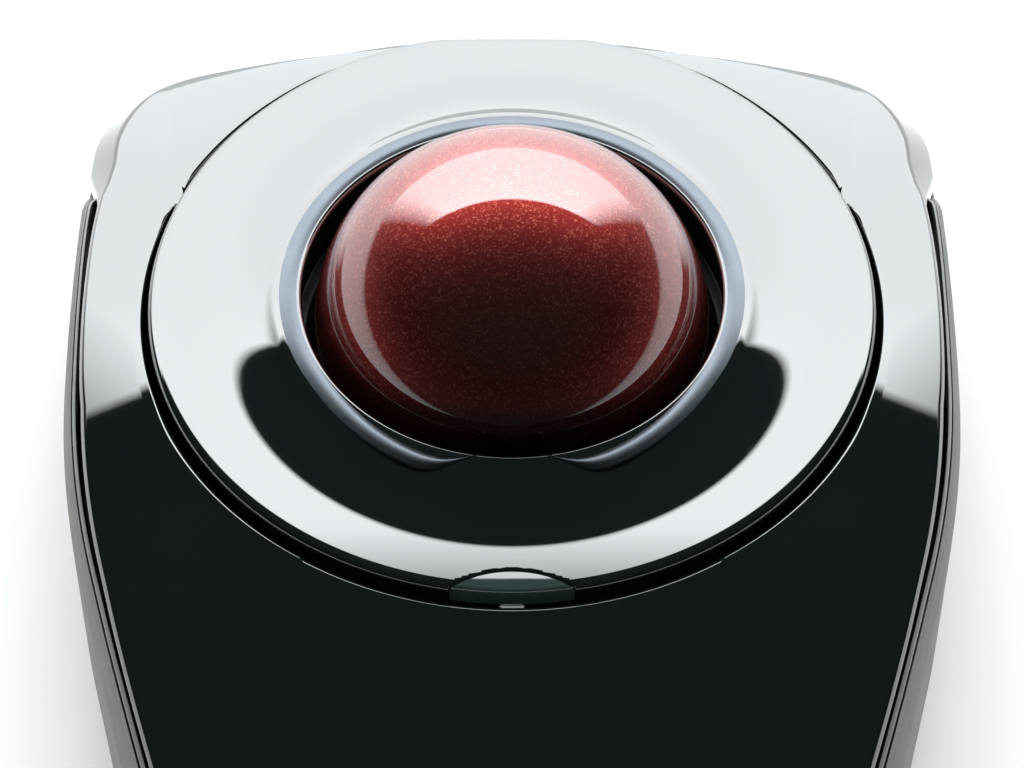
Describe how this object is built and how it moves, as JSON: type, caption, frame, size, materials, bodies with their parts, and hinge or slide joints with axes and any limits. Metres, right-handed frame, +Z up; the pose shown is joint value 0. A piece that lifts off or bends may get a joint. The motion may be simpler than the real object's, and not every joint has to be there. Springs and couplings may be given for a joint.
{
  "type": "trackball mouse",
  "caption": "Compact wireless trackball with a ruby ball, a touch scroll ring, two click wings and grey side grips.",
  "frame": {"origin": "centre of the bounding box, on the plane the rubber feet stand on", "axes": "+Y to the nose, +X to the right hand side of a user behind the palm, +Z up"},
  "size_m": [0.068, 0.112, 0.044],
  "materials": {
    "gloss_black": "piano black, highly polished",
    "satin_chrome": "satin chrome plate",
    "ruby_resin": "clear coated resin with fine metallic flake",
    "smoked_window": "smoked translucent plastic",
    "clear_plastic": "clear plastic",
    "trim_grey": "satin grey paint",
    "grip_grey": "soft touch rubber",
    "housing_black": "fine spark eroded texture",
    "foot_rubber": "smooth rubber",
    "screw_steel": "zinc plated",
    "knob_grey": "ribbed",
    "plug_steel": "stamped sheet",
    "white_plastic": "moulded",
    "bearing_steel": "polished",
    "electrode_copper": "copper on film",
    "board_green": "solder mask",
    "chip_black": "moulded epoxy",
    "switch_black": "moulded",
    "plunger_red": "moulded",
    "cell_jacket": "printed jacket, plain bands only",
    "contact_nickel": "nickel plated spring steel"
  },
  "bodies": {
    "chassis": {"palm_cover": "gloss_black", "scroll_ring": "gloss_black", "ball_bezel": "satin_chrome", "status_window": "smoked_window", "light_pipe": "clear_plastic", "status_led": "white_plastic", "left_trim": "trim_grey", "right_trim": "trim_grey", "left_side_grip": "grip_grey", "right_side_grip": "grip_grey", "base_housing": "housing_black", "rubber_feet": "foot_rubber", "housing_screws": "screw_steel", "power_switch_body": "plug_steel", "ball_cup": "housing_black", "support_bearings": "bearing_steel", "touch_electrode": "electrode_copper", "touch_connector": "white_plastic", "sensor_board": "board_green", "sensor_chip": "chip_black", "sensor_lens": "clear_plastic", "main_board": "board_green", "board_screws": "screw_steel", "controller_chip": "chip_black", "radio_chip": "chip_black", "antenna_module": "board_green", "left_switch_body": "switch_black", "right_switch_body": "switch_black", "battery_tray": "housing_black", "left_battery": "cell_jacket", "right_battery": "cell_jacket", "battery_springs": "contact_nickel", "battery_contacts": "contact_nickel"},
    "ball_body": {"ball": "ruby_resin"},
    "left_wing": {"left_button": "gloss_black"},
    "right_wing": {"right_button": "gloss_black"},
    "left_plunger": {"left_switch_plunger": "plunger_red"},
    "right_plunger": {"right_switch_plunger": "plunger_red"},
    "door": {"battery_door": "housing_black"},
    "receiver": {"receiver_cap": "housing_black", "receiver_plug": "plug_steel", "receiver_tongue": "white_plastic"},
    "power_knob": {"power_slider": "knob_grey"}
  },
  "joints": [
    {"name": "ball_roll", "type": "hinge", "parent": "chassis", "child": "ball_body", "pos_m": [0, 0.02885, 0.02896], "axis": [1, 0, 0], "continuous": true},
    {"name": "left_button_press", "type": "hinge", "parent": "chassis", "child": "left_wing", "pos_m": [0, 0.0061, 0.0345], "axis": [-1, 0, 0], "range_deg": [0, 0.75], "stiffness_Nm_per_rad": 2},
    {"name": "right_button_press", "type": "hinge", "parent": "chassis", "child": "right_wing", "pos_m": [0, 0.0061, 0.0345], "axis": [-1, 0, 0], "range_deg": [0, 0.75], "stiffness_Nm_per_rad": 2},
    {"name": "left_plunger_slide", "type": "slide", "parent": "chassis", "child": "left_plunger", "axis": [0, 0, -1], "range_m": [0, 0.0004]},
    {"name": "right_plunger_slide", "type": "slide", "parent": "chassis", "child": "right_plunger", "axis": [0, 0, -1], "range_m": [0, 0.0004]},
    {"name": "power_slide", "type": "slide", "parent": "chassis", "child": "power_knob", "axis": [1, 0, 0], "range_m": [0, 0.003]},
    {"name": "battery_door_slide", "type": "slide", "parent": "chassis", "child": "door", "axis": [0, -1, 0], "range_m": [0, 0.052]},
    {"name": "receiver_slide", "type": "slide", "parent": "chassis", "child": "receiver", "axis": [0, 1, 0], "range_m": [0, 0.021]}
  ],
  "couplings": [
    {"joint": "left_plunger_slide", "follows": "left_button_press", "m_per_rad": 0.0239},
    {"joint": "right_plunger_slide", "follows": "right_button_press", "m_per_rad": 0.0239}
  ]
}
